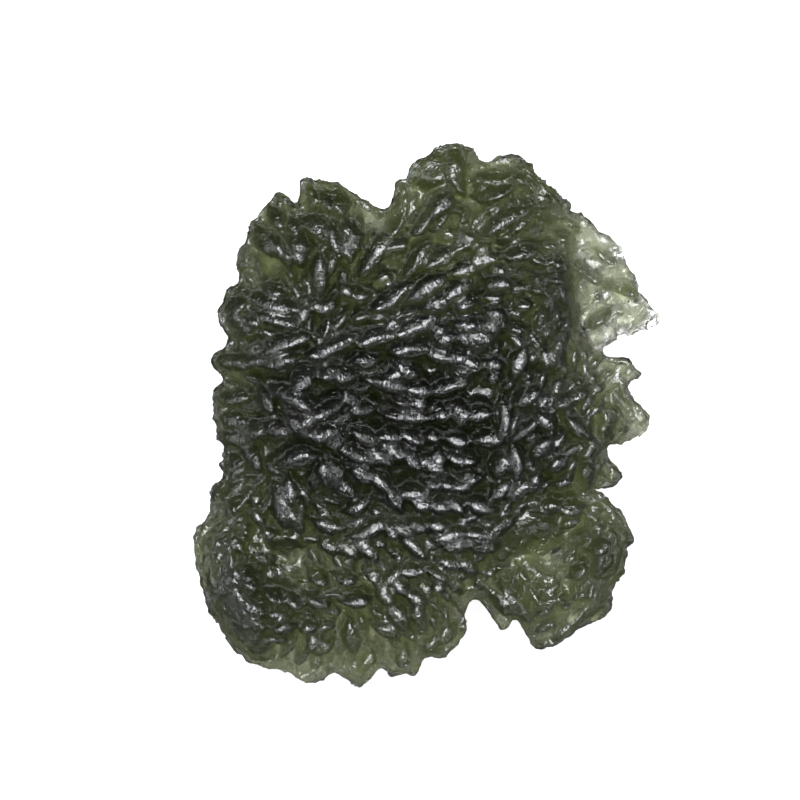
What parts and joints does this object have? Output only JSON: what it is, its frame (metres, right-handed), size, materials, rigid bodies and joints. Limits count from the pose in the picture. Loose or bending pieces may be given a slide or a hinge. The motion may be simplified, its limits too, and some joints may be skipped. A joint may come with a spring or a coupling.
{
  "type": "moldavite",
  "caption": "Natural piece of deeply etched green tektite glass, flat and lobed, with finger-like ridges, crevices and a thin pale edge, resting on a small flat spot.",
  "frame": {"origin": "middle of the stone's outline, on the surface that it rests on", "axes": "+Y towards the domed end, +Z out of the sculptured face, +X to the right of that face"},
  "size_m": [0.0228, 0.027, 0.0099],
  "materials": {
    "moldavite glass": "satin"
  },
  "bodies": {
    "root": {"moldavite": "moldavite glass"}
  },
  "joints": []
}
